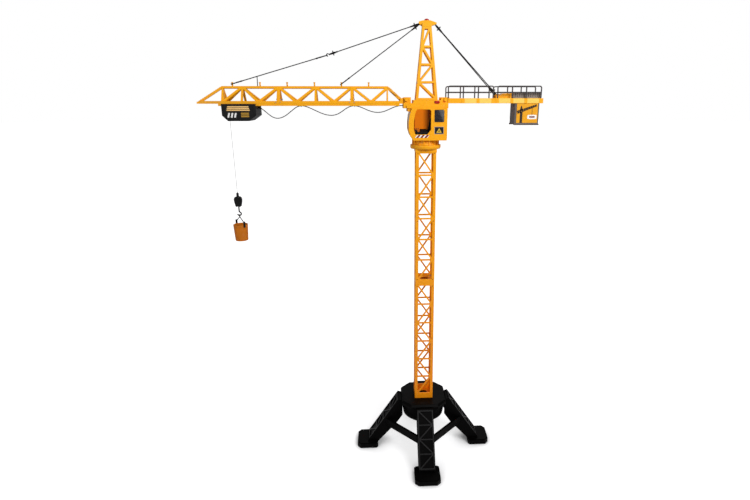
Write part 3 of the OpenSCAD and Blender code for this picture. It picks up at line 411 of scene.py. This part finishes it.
class Shape:
    """Points in millimetres and faces, gathered bit by bit and then made into one piece."""

    def __init__(self):
        self.points, self.faces = [], []

    def add(self, points, faces):
        first = len(self.points)
        self.points += [tuple(p) for p in points]
        self.faces += [[first + i for i in face] for face in faces]

    def prism(self, outline, axis, a, b):
        """A flat outline given thickness along an axis, from a to b."""
        place, n = across(axis), len(outline)
        points = [place(u, v, w) for w in (a, b) for u, v in outline]
        sides = [[i, (i + 1) % n, n + (i + 1) % n, n + i] for i in range(n)]
        self.add(points, sides + [list(range(n))[::-1], list(range(n, 2 * n))])

    def frame(self, outer, inner, axis, a, b):
        """A flat ring between two outlines with as many corners, given thickness."""
        place, n = across(axis), len(outer)
        points = [place(u, v, w) for w in (a, b) for line in (outer, inner) for u, v in line]
        faces = []
        for i in range(n):
            j = (i + 1) % n
            for p, q in ((0, n), (n, 3 * n), (3 * n, 2 * n), (2 * n, 0)):
                faces.append([p + i, p + j, q + j, q + i])
        self.add(points, faces)

    def lathe(self, profile, centre, axis, sides=24, closed=False):
        """A profile of (radius, height) turned about an axis through centre."""
        place = across(axis)
        points = []
        for r, h in profile:
            for k in range(sides):
                a = 2 * math.pi * k / sides
                points.append(Vector(place(r * math.cos(a), r * math.sin(a), h)) + Vector(centre))
        rows = len(profile)
        faces = []
        for i in range(rows if closed else rows - 1):
            for k in range(sides):
                n = (k + 1) % sides
                j = (i + 1) % rows
                faces.append([i * sides + k, i * sides + n, j * sides + n, j * sides + k])
        if not closed:
            faces += [list(range(sides))[::-1],
                      list(range((rows - 1) * sides, rows * sides))]
        self.add(points, faces)

    def tube(self, path, radius, sides=8):
        """A closed tube along a path; radius is a number, or a list with one for each point."""
        points = []
        path = list(path)
        radii = radius if isinstance(radius, list) else [radius] * len(path)
        for (point, way, side, over), r in zip(frames(path), radii):
            for k in range(sides):
                a = 2 * math.pi * k / sides
                points.append(point + r * (math.cos(a) * side + math.sin(a) * over))
        faces = [[i * sides + k, i * sides + (k + 1) % sides,
                  (i + 1) * sides + (k + 1) % sides, (i + 1) * sides + k]
                 for i in range(len(path) - 1) for k in range(sides)]
        faces += [list(range(sides))[::-1],
                  list(range((len(path) - 1) * sides, len(path) * sides))]
        self.add(points, faces)

    def rope(self, path, diameter, pitch, strands=3, steps=8, sides=6):
        """Strands twisted about a path, touching one another inside that diameter."""
        strand_r = diameter / 2 / (1 + 1 / math.sin(math.pi / strands))
        helix_r = diameter / 2 - strand_r
        path = resample(path, pitch / steps)
        for s in range(strands):
            line = []
            for i, (point, way, side, over) in enumerate(frames(path)):
                a = 2 * math.pi * (i / steps + s / strands)
                line.append(point + helix_r * (math.cos(a) * side + math.sin(a) * over))
            self.tube(line, strand_r * 1.04, sides)

    def bar(self, p, q, width, height):
        """A straight bar from p to q, width along Y at right angles to it, and height above."""
        p, q = Vector(p), Vector(q)
        way = (q - p).normalized()
        wide = (Vector((0, 1, 0)) - way * way.y).normalized() * width / 2
        high = way.cross(wide).normalized() * height / 2
        self.add([end + a * wide + b * high for end in (p, q) for a, b in BAR_CORNERS], BAR_FACES)

    def make(self, name, body, material, slot=None, smooth=False, soften=0.0):
        """The piece, riding on a body of the frame, with edges softened by so many millimetres."""
        mesh = bpy.data.meshes.new(name)
        mesh.from_pydata([[c * MM for c in p] for p in self.points], [], self.faces)
        mesh.validate()
        work = bmesh.new()
        work.from_mesh(mesh)
        bmesh.ops.recalc_face_normals(work, faces=work.faces)
        work.to_mesh(mesh)
        work.free()
        if smooth:
            mesh.polygons.foreach_set("use_smooth", [True] * len(mesh.polygons))
        mesh.materials.append(MATERIALS[material])
        piece = bpy.data.objects.new(name, mesh)
        bpy.context.collection.objects.link(piece)
        if soften:
            bevel = piece.modifiers.new("soft_edges", "BEVEL")
            bevel.width = soften * MM
            bevel.segments = 2
            bevel.limit_method = "ANGLE"
        if body:
            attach(piece, body)
        return piece


def rectangle(x0, x1, z0, z1):
    return [(x0, z0), (x1, z0), (x1, z1), (x0, z1)]


def rounded(x0, x1, z0, z1, r, steps=5):
    """A rectangle's outline with round corners."""
    corners = ((x1 - r, z0 + r, -90), (x1 - r, z1 - r, 0),
               (x0 + r, z1 - r, 90), (x0 + r, z0 + r, 180))
    return [(x + r * math.cos(math.radians(a + 90 * k / steps)),
             z + r * math.sin(math.radians(a + 90 * k / steps)))
            for x, z, a in corners for k in range(steps + 1)]


# ---------------------------------------------------------------- cords

CAP_LEFT, CAP_RIGHT = Vector((-16.8, 0, 1268)), Vector((20.8, 0, 1267.2))
SIDE = Vector((0, 1.7, 0))  # the two hooks on each side of the cap lie this far off its middle
LONG_PEG, LONG_MID = Vector((-509.6, 0, 1119.5)), Vector((-260, 0, 1190.5))
SHORT_PEG = Vector((-225, 0, 1119.5))
REAR_EYES = Vector((191, -11.4, 1090.5)), Vector((191, 11.4, 1090.5))
HOOK_REACH = 23.8  # from the middle of a hook's eye to where its cord begins
MID_GAP = (CAP_LEFT - LONG_MID).normalized() * 2.4
STAY_D, STAY_PITCH, STAY_STRANDS, STAY_POINTS = 2.6, 8, 6, 16
STAYS = {
    "stay_rope_outer_high": (CAP_LEFT - SIDE, LONG_MID + MID_GAP, "stay_long"),
    "stay_rope_outer_low": (LONG_MID - MID_GAP, LONG_PEG, "stay_long"),
    "stay_rope_inner": (CAP_LEFT + SIDE, SHORT_PEG, "stay_short"),
    "stay_rope_rear_front": (CAP_RIGHT - SIDE, REAR_EYES[0], "stay_rear"),
    "stay_rope_rear_back": (CAP_RIGHT + SIDE, REAR_EYES[1], "stay_rear"),
}


def add_stays():
    """Five taut twisted cords, each between two of the hooks, with a sleeve at each end."""
    sleeves = Shape()
    for name, (p, q, node) in STAYS.items():
        way = (q - p).normalized()
        a, b = p + way * HOOK_REACH, q - way * HOOK_REACH
        path = [a.lerp(b, i / (STAY_POINTS - 1)) for i in range(STAY_POINTS)]
        shape = Shape()
        shape.rope(path, STAY_D, STAY_PITCH, strands=STAY_STRANDS)
        rope = shape.make(name, "upperworks", "stay_cord", "stay_cord", smooth=True)
        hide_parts(node)
        for end, along in ((a, way), (b, -way)):
            sleeves.tube([end - along * 1.5, end + along * 3, end + along * 4.2],
                         [1.9, 1.85, 1.45], 10)
    sleeves.make("stay_sleeves", "upperworks", "black_plastic", "black_plastic", soften=0.15)


CABLE_ROUTE = [
    (-446.5, 1060), (-440, 1057.5), (-431, 1050.5), (-421, 1042), (-411, 1035), (-400, 1032),
    (-389, 1033.5), (-378, 1038.5), (-367, 1046), (-356, 1054.5), (-345, 1061.5), (-334, 1064),
    (-322, 1062.5), (-309, 1057.5), (-295, 1051), (-280, 1044.5), (-266, 1040.5), (-252, 1039.5),
    (-239, 1042.5), (-227, 1049), (-215, 1057), (-203, 1062.5), (-192, 1064), (-180, 1062),
    (-168, 1057.5), (-155, 1052), (-141, 1048), (-127, 1047), (-113, 1049.5), (-99, 1055),
    (-86, 1060.5), (-73, 1064), (-62, 1065)]
CABLE_D = 2.2
CABLE_TOP_Z = 1064  # at both carriers


def add_festoon():
    """The cable that hangs in swags between its carriers."""
    path = resample([(x, 0, z) for x, z in CABLE_ROUTE], 3)
    shape = Shape()
    shape.tube(path, CABLE_D / 2, 12)
    cable = shape.make("festoon_lead", "upperworks", "cable_rubber", "cable_rubber", smooth=True)
    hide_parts("festoon_cable")
    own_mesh(cable)
    for name, body, x in (("cable_clip_outer", "outer_carrier", -334),
                          ("cable_clip_inner", "inner_carrier", -192)):
        clip = Shape()
        clip.lathe([(2.35, -0.6), (2.85, -0.6), (2.85, 0.6), (2.35, 0.6)], (x, 0, CABLE_TOP_Z),
                   "x", 16, closed=True)
        clip.make(name, body, "black_plastic", "black_plastic", soften=0.2)
    relief = Shape()
    relief.tube([(-448, 0, 1060.6), (-443, 0, 1058.7), (-438.5, 0, 1056.4)], [2.6, 2.1, 1.5], 12)
    relief.make("cable_relief", "trolley", "black_plastic", "black_plastic", smooth=True)


LINE_D, LINE_PITCH, LINE_SPANS = 1.0, 3.2, 18
LINE_TOP, LINE_FOOT, LINE_X = 1046, 830, -525


def add_hoist_line():
    """A thin twisted string from the drum down to the hook block's neck."""
    path = [(LINE_X, 0, LINE_TOP + (LINE_FOOT - LINE_TOP) * i / LINE_SPANS)
            for i in range(LINE_SPANS + 1)]
    shape = Shape()
    shape.rope(path, LINE_D, LINE_PITCH, steps=7)
    line = shape.make("hoist_string_line", None, "hoist_string", "hoist_string", smooth=True)
    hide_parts("hoist_line")
    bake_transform(line)
    knot = Shape()
    knot.lathe([(0.9, 0), (1.7, 0.5), (1.9, 1.4), (1.6, 2.4), (0.8, 3)],
               (LINE_X, 0, LINE_FOOT - 0.3), "z", 14)
    knot.make("hoist_line_knot", "hook_block", "hoist_string", "hoist_string", smooth=True)


add_stays()
add_festoon()
add_hoist_line()


# ---------------------------------------------------------------- prints and panels

CAB_FACE = -45.0
PLATE_FACE = CAB_FACE - 0.3  # of the square plate under the cab's side pane
CAB_FAR_WALL = 41.4
STRIPES_X, STRIPES_Z, STRIPE_SLANT, STRIPE_WIDTH = (-32, 1), (982.5, 989.8), 6.5, 5.8
SIGN_MIDDLE_X, SIGN_HALF_WIDTH, SIGN_Z = 32.1, 7.2, (995.4, 1007.4)

TROLLEY_FACE, TROLLEY_BARS = 32, 3
WEIGHT_FACE, PANEL_THICKNESS = 24.1, 1.15
JIB_FOOT, JIB_HEAD, JIB_DASHES = Vector((244.5, 1047)), Vector((297, 1065.3)), 9
SKIRT_BAYS = ((101, 133), (141, 173), (193, 224), (232, 262), (270, 302))


def add_cab_prints():
    """Hazard stripes under the open window, a plain sign on the square plate, a gasket round the
    side pane, and the lining of the far wall that shows through the window, which carries painted light
    and shade."""
    (left, right), (low, high) = STRIPES_X, STRIPES_Z
    white = Shape()
    white.prism([(left, low), (right, low), (right + STRIPE_SLANT - 1, high),
                 (left + STRIPE_SLANT - 1, high)], "y", CAB_FACE + 0.05, CAB_FACE - 0.15)
    white.make("cab_stripe_ground", "upperworks", "print_white")
    red = Shape()
    for x in (-29, -18, -7):
        red.prism([(x, low), (x + STRIPE_WIDTH, low), (x + STRIPE_WIDTH + STRIPE_SLANT, high),
                   (x + STRIPE_SLANT, high)], "y", CAB_FACE - 0.1, CAB_FACE - 0.3)
    red.make("cab_stripes", "upperworks", "print_red")
    near, far = PLATE_FACE + 0.1, PLATE_FACE - 0.15
    border = Shape()
    border.frame(rectangle(19.8, 44.4, 992, 1011), rectangle(20.9, 43.3, 993.1, 1009.9),
                 "y", near, far)
    border.make("cab_sign_border", "upperworks", "print_grey", soften=0.08)
    sign = Shape()
    sign.prism([(SIGN_MIDDLE_X - SIGN_HALF_WIDTH, SIGN_Z[0]),
                (SIGN_MIDDLE_X + SIGN_HALF_WIDTH, SIGN_Z[0]), (SIGN_MIDDLE_X, SIGN_Z[1])],
               "y", near, far)
    sign.make("cab_sign", "upperworks", "print_yellow", soften=0.06)
    dot = Shape()
    dot.lathe([(2.1, 0), (2.1, 0.2), (1.7, 0.3)], (SIGN_MIDDLE_X, PLATE_FACE - 0.35, 999.6), "y", 20)
    dot.make("cab_sign_dot", "upperworks", "black_plastic", "black_plastic")
    gasket = Shape()
    gasket.frame(rounded(17.8, 46.8, 1021.1, 1056.1, 4.2), rounded(19.3, 45.3, 1022.6, 1054.6, 2.8),
                 "y", CAB_FACE + 0.2, CAB_FACE - 0.7)
    gasket.make("cab_pane_gasket", "upperworks", "crane_plastic", "crane_plastic", soften=0.3)
    # A thin sheet on the far wall that carries the lining's painted light and shade.
    skin = Shape()
    skin.prism(rectangle(-27, 14, 982, 1053), "y", CAB_FAR_WALL, CAB_FAR_WALL - 0.4)
    skin.make("cab_lining_painted_light", "upperworks", "cab_lining_painted_light", "crane_plastic")


def add_trolley_prints():
    """Plain bars on both sides of the trolley's box."""
    for side, name in ((-1, "front"), (1, "rear")):
        near, far = side * (TROLLEY_FACE - 0.05), side * (TROLLEY_FACE + 0.18)
        cream, white, gold = Shape(), Shape(), Shape()
        for i in range(TROLLEY_BARS):
            left, right, z = -522 + i * 1.2, -463 - i * 1.2, 1052 + i * 4.3
            cream.prism(rectangle(left, right, z, z + 3), "y", near, far)
            x = -521.5 + i * 8.6
            white.prism([(x, 1035), (x + 4.4, 1035), (x + 7.6, 1046.6), (x + 3.2, 1046.6)],
                        "y", near, far)
            z = 1036.2 + i * 4.2
            gold.prism(rectangle(-486, -465.5, z, z + 2.6), "y", near, far)
        cream.make("trolley_bars_" + name, "trolley", "print_cream")
        white.make("trolley_slashes_" + name, "trolley", "print_white")
        gold.make("trolley_lines_" + name, "trolley", "print_gold")


def add_counterweight_panels():
    """Orange side panels, each with a small generic crane and a plain white label."""
    step = (JIB_HEAD - JIB_FOOT) / JIB_DASHES
    up = Vector((-step.y, step.x)).normalized()
    for side, name in ((-1, "front"), (1, "rear")):
        face = side * (WEIGHT_FACE + PANEL_THICKNESS)
        near, far = face - side * 0.05, face + side * 0.15
        panel, dark, label, bar = Shape(), Shape(), Shape(), Shape()
        panel.prism(rectangle(243.3, 300.7, 1019.6, 1070.3), "y", side * WEIGHT_FACE, face)
        panel.make("counterweight_panel_" + name, "upperworks", "panel_orange", soften=0.3)
        for i in range(JIB_DASHES):
            p, half = JIB_FOOT + step * i, 4.1 - 0.16 * i
            dark.prism([p - up * half, p + step * 0.93 - up * half, p + step * 1.03 + up * half,
                        p + step * 0.1 + up * half], "y", near, far)
        dark.prism(rectangle(252.5, 259.5, 1019.6, 1048), "y", near, far)
        dark.prism([(250.5, 1050), (259.5, 1053), (256.6, 1064), (254.8, 1064)], "y", near, far)
        dark.prism(rectangle(284.7, 285.9, 1040, 1061), "y", near, far)
        dark.make("counterweight_crane_" + name, "upperworks", "print_dark")
        label.prism(rounded(272.8, 298.6, 1029.6, 1040.6, 3), "y", near, far + side * 0.1)
        label.make("counterweight_label_" + name, "upperworks", "print_white")
        bar.prism(rounded(278, 293.5, 1033.2, 1037, 1.6), "y", far, far + side * 0.2)
        bar.make("counterweight_bar_" + name, "upperworks", "print_red")


def add_lit_deck_sheets():
    """Painted light: paler side faces on the counter-jib's deck, between the ribs under its posts,
    standing in for the strong light on those faces.
    """
    skirts = Shape()
    for x0, x1 in SKIRT_BAYS:
        for side in (-1, 1):
            skirts.prism(rectangle(x0, x1, 1071, 1083), "y", side * 26.4, side * 26.8)
    skirts.make("counter_deck_lit_sheets", "upperworks", "deck_painted_light", "crane_plastic", soften=0.15)


# ---------------------------------------------------------------- small hardware


MAST_FACE, POST_X, SOCKET_Z = 28, 22.6, (939, 750, 574, 553, 383)


def add_mast_sockets():
    """The moulded screw sockets on the mast's posts, on all four faces, with painted shade as a dark
    disc inside each.
    """
    rims, holes = Shape(), Shape()
    for z in SOCKET_Z:
        for post in (-POST_X, POST_X):
            for axis, out in (("y", -1), ("y", 1), ("x", -1), ("x", 1)):
                face = out * MAST_FACE
                centre = (post, face, z) if axis == "y" else (face, post, z)
                rims.lathe([(1.3, -0.1 * out), (2.3, -0.1 * out), (2.1, 0.3 * out), (1.3, 0.3 * out)],
                           centre, axis, 14, closed=True)
                # A dark disc in each socket: painted shade inside the hole.
                holes.lathe([(1.35, -0.2 * out), (1.35, 0.12 * out)], centre, axis, 14)
    rims.make("mast_socket_rims", "base", "crane_plastic", "crane_plastic")
    holes.make("mast_sockets", "base", "painted_shade_hole")


LEG_TOP, LEG_LOW, LEG_HALF = Vector((81, 0, 169)), Vector((178, 0, 23)), 25
LEG_BAYS, LEG_FIRST, LEG_BAY = 4, 0.03, 0.235  # the bays' places as shares of the way down
RIB_WIDTH, RIB_FOOT, RIB_TOP = 3, -0.9, 0.35


def leg_rib(a, across_a, b, across_b):
    """A flat rib on one leg's face, between two places that are each a share of the way down and a
    distance across."""
    down = LEG_LOW - LEG_TOP
    out = Vector((-down.z, 0, down.x)).normalized()
    p = LEG_TOP + down * a + Vector((0, across_a, 0))
    q = LEG_TOP + down * b + Vector((0, across_b, 0))
    wide = (q - p).cross(out).normalized() * RIB_WIDTH / 2
    return [end + wide * s + out * h for end in (p, q) for h in (RIB_FOOT, RIB_TOP) for s in (-1, 1)]


def add_leg_ribs():
    """The raised zigzag on each leg's sloping face, in a black a little lighter than the legs' as a
    painted highlight.
    """
    inner, corner = LEG_HALF - 3, LEG_HALF - 4
    face = [leg_rib(0.02, side * inner, 0.98, side * inner) for side in (-1, 1)]
    for i in range(LEG_BAYS + 1):
        at = LEG_FIRST + LEG_BAY * i
        face.append(leg_rib(at, -inner, at, inner))
    for i in range(LEG_BAYS):
        at, lean = LEG_FIRST + LEG_BAY * i, 1 if i % 2 == 0 else -1
        face.append(leg_rib(at, -lean * corner, at + LEG_BAY, lean * corner))
    ribs = Shape()
    for turn in range(4):
        spin = Matrix.Rotation(math.radians(90 * turn), 3, "Z")
        for corners in face:
            ribs.add([spin @ point for point in corners], BOX_FACES)
    ribs.make("leg_ribs", "base", "rib_highlight_black", "base_plastic", soften=0.2)


def add_console_trim():
    """A dark shelf under the cab's window, and grey rails and levers on the console."""
    low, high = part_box("cab_console")
    x0, y0, z0 = (c / MM for c in low)
    x1, _, z1 = (c / MM for c in high)
    shelf = Shape()
    shelf.prism(rectangle(-29, 6, 990.5, 997.5), "y", -37, -33)
    shelf.make("console_shelf", "upperworks", "black_plastic", "black_plastic", soften=0.6)
    trim = Shape()
    for foot, head in ((z1 - 2.6, z1 - 0.9), (z0 + 5, z0 + 6.4)):
        trim.prism(rectangle(x0 + 0.5, x1 - 0.5, foot, head), "y", y0 - 0.5, y0 + 0.4)
    levers, margin = 4, 3
    for i in range(levers):
        x = x0 + margin + i * (x1 - x0 - 2 * margin) / (levers - 1)
        trim.tube([(x, y0 + 6, z1 - 0.5), (x + 0.8, y0 + 5.5, z1 + 3), (x + 1, y0 + 5.2, z1 + 5.5)],
                  [0.8, 0.7, 1.1], 8)
    trim.make("console_trim", "upperworks", "rail_grey", "grey_plastic", soften=0.1)


def ridge_row(shape, foot, head, count, width, lift, first=0.12, last=0.92):
    """Ridges across a beam's upper face, from a first to a last share of the way from its foot."""
    foot, head = Vector(foot), Vector(head)
    way = (head - foot).normalized()
    up = Vector((0, 1, 0)).cross(way)
    if up.z < 0:
        up = -up
    for i in range(count):
        at = foot.lerp(head, first + (last - first) * i / (count - 1)) + up * lift
        shape.bar(at - way * 0.7, at + way * 0.7, width, 0.9)


def add_jib_ridges():
    """Cross ridges moulded on the jib's slanting end beams."""
    ridges = Shape()
    ridge_row(ridges, (-601, 0, 1072.5), (-536, 0, 1111), 11, 7.2, 3.2)
    for side in (-1, 1):
        ridge_row(ridges, (-66, side * 18.5, 1077), (-102, side * 3.4, 1110), 4, 6.8, 3.4, 0.15, 0.55)
    ridges.make("jib_ridges", "upperworks", "crane_plastic", "crane_plastic", soften=0.25)


JIB_JOINTS_X, JIB_SIDE, BOLT_OFFSET, BOLT_Z = (-197.5, -390), 24.5, 6, 1073


def add_jib_bolts():
    """Bolt heads in moulded cups on both sides of the jib's joints."""
    heads, cups = Shape(), Shape()
    for x in JIB_JOINTS_X:
        for side in (-1, 1):
            for dx in (-BOLT_OFFSET, BOLT_OFFSET):
                centre = (x + dx, side * JIB_SIDE, BOLT_Z)
                cups.lathe([(1.2, 0), (2.4, 0), (2.2, 0.7 * side), (1.2, 0.7 * side)],
                           centre, "y", 14, closed=True)
                heads.lathe([(1.25, -0.1 * side), (1.25, 0.3 * side)], centre, "y", 14)
    cups.make("jib_bolt_cups", "upperworks", "crane_plastic", "crane_plastic")
    heads.make("jib_bolts", "upperworks", "screw_steel", "screw_steel")


BUCKET_RIM_Z, BUCKET_FOOT_Z, BUCKET_RIM_R, BUCKET_FOOT_R = 741, 695.6, 19.45, 17.0
BUCKET_RIBS, BUCKET_RIB_HALF, BUCKET_RIB_PROUD = 28, 0.45, 0.75
LIP_R, LIP_WIRE_R, LIP_SIDES = 19.3, 0.9, 10


def add_bucket_ribs():
    """Fine upright ribs round the bucket, and a rolled rim."""
    ribs = Shape()
    ends = ((BUCKET_FOOT_R - 0.3, BUCKET_FOOT_Z), (BUCKET_RIM_R - 0.4, BUCKET_RIM_Z - 4.5))
    for k in range(BUCKET_RIBS):
        a = 2 * math.pi * (k + 0.5) / BUCKET_RIBS
        out = Vector((math.cos(a), math.sin(a), 0))
        wide = Vector((-math.sin(a), math.cos(a), 0)) * BUCKET_RIB_HALF
        ribs.add([Vector((LINE_X, 0, z)) + out * (r + depth) + wide * s
                  for r, z in ends for depth in (0, BUCKET_RIB_PROUD) for s in (-1, 1)], BOX_FACES)
    ribs.make("bucket_ribs", "bucket", "bucket_plastic", "bucket_plastic", soften=0.15)
    lip = Shape()
    ring = []
    for t in range(LIP_SIDES):
        a = 2 * math.pi * t / LIP_SIDES
        ring.append((LIP_R + LIP_WIRE_R * math.cos(a),
                     BUCKET_RIM_Z - 0.7 + LIP_WIRE_R * math.sin(a)))
    lip.lathe(ring, (LINE_X, 0, 0), "z", 64, closed=True)
    lip.make("bucket_lip", "bucket", "bucket_plastic", "bucket_plastic", smooth=True)


def add_roof_fittings():
    """Moulded caps over the hinge pins' ends, the catches below them, and the long stay's prop."""
    caps, catches, prop = Shape(), Shape(), Shape()
    for x in (-54, 50):
        for side in (-1, 1):
            caps.lathe([(4.2, 30 * side), (4.2, 31.6 * side), (3.4, 32.3 * side), (1.2, 32.1 * side)],
                       (x, 0, 1079.5), "y", 28)
    caps.make("hinge_caps", "upperworks", "crane_plastic", "crane_plastic")
    for side in (-1, 1):
        catches.prism(rounded(-51, -43, 1049.5, 1060, 1.5), "y", side * 22, side * 36)
    catches.make("saddle_catches", "upperworks", "crane_plastic", "crane_plastic", soften=0.4)
    prop.tube([(-444.6, 0, 1113.8), (-444.3, 0, 1126), (-444, 0, 1137.8)], 1.1, 10)
    prop.make("stay_prop", "upperworks", "black_plastic", "black_plastic", smooth=True)


def add_cross_slots():
    """Dark crosses on the trolley's two screw heads."""
    slots = Shape()
    z = 1054
    for x in (-500, -454):
        for w, h in ((1.4, 0.3), (0.3, 1.4)):
            slots.prism(rectangle(x - w, x + w, z - h, z + h), "y", 32.65, 32.8)
    slots.make("trolley_screw_slots", "trolley", "black_plastic", "black_plastic")


add_cab_prints()
add_trolley_prints()
add_counterweight_panels()
add_lit_deck_sheets()
add_mast_sockets()
add_leg_ribs()
add_console_trim()
add_jib_ridges()
add_jib_bolts()
add_bucket_ribs()
add_roof_fittings()
add_cross_slots()


# ---------------------------------------------------------------- the CAD nodes

# Softened edges in millimetres, where they differ from the usual
USUAL_EDGE = 0.4
EDGES = {"railings": 0.9, "stay_hooks": 0.5, "hook_block": 1.2, "bail": 0.3, "base_deck": 0.8,
         "cab_shell": 1.2, "cab_seat": 1.2, "counterweight_box": 0.7, "saddle": 0.8}

# Nodes with a finish of their own, a little off their slot's
LOOKS = {"winch_cover": "winch_grey", "railings": "rail_grey"}

WELD_M, BEVEL_FROM_DEGREES = 0.00001, 40


def finish_cad_nodes():
    """Every CAD node that stays gets its slot's material and softened edges."""
    for name, part in NODES.items():
        part.data.materials.clear()
        part.data.materials.append(MATERIALS[LOOKS.get(name, SLOT_OF[name])])
        weld = part.modifiers.new("weld", "WELD")
        weld.merge_threshold = WELD_M
        bevel = part.modifiers.new("soft_edges", "BEVEL")
        bevel.width = EDGES.get(name, USUAL_EDGE) * MM
        bevel.segments = 3 if name in EDGES else 2
        bevel.limit_method = "ANGLE"
        bevel.angle_limit = math.radians(BEVEL_FROM_DEGREES)
        bevel.harden_normals = True


finish_cad_nodes()
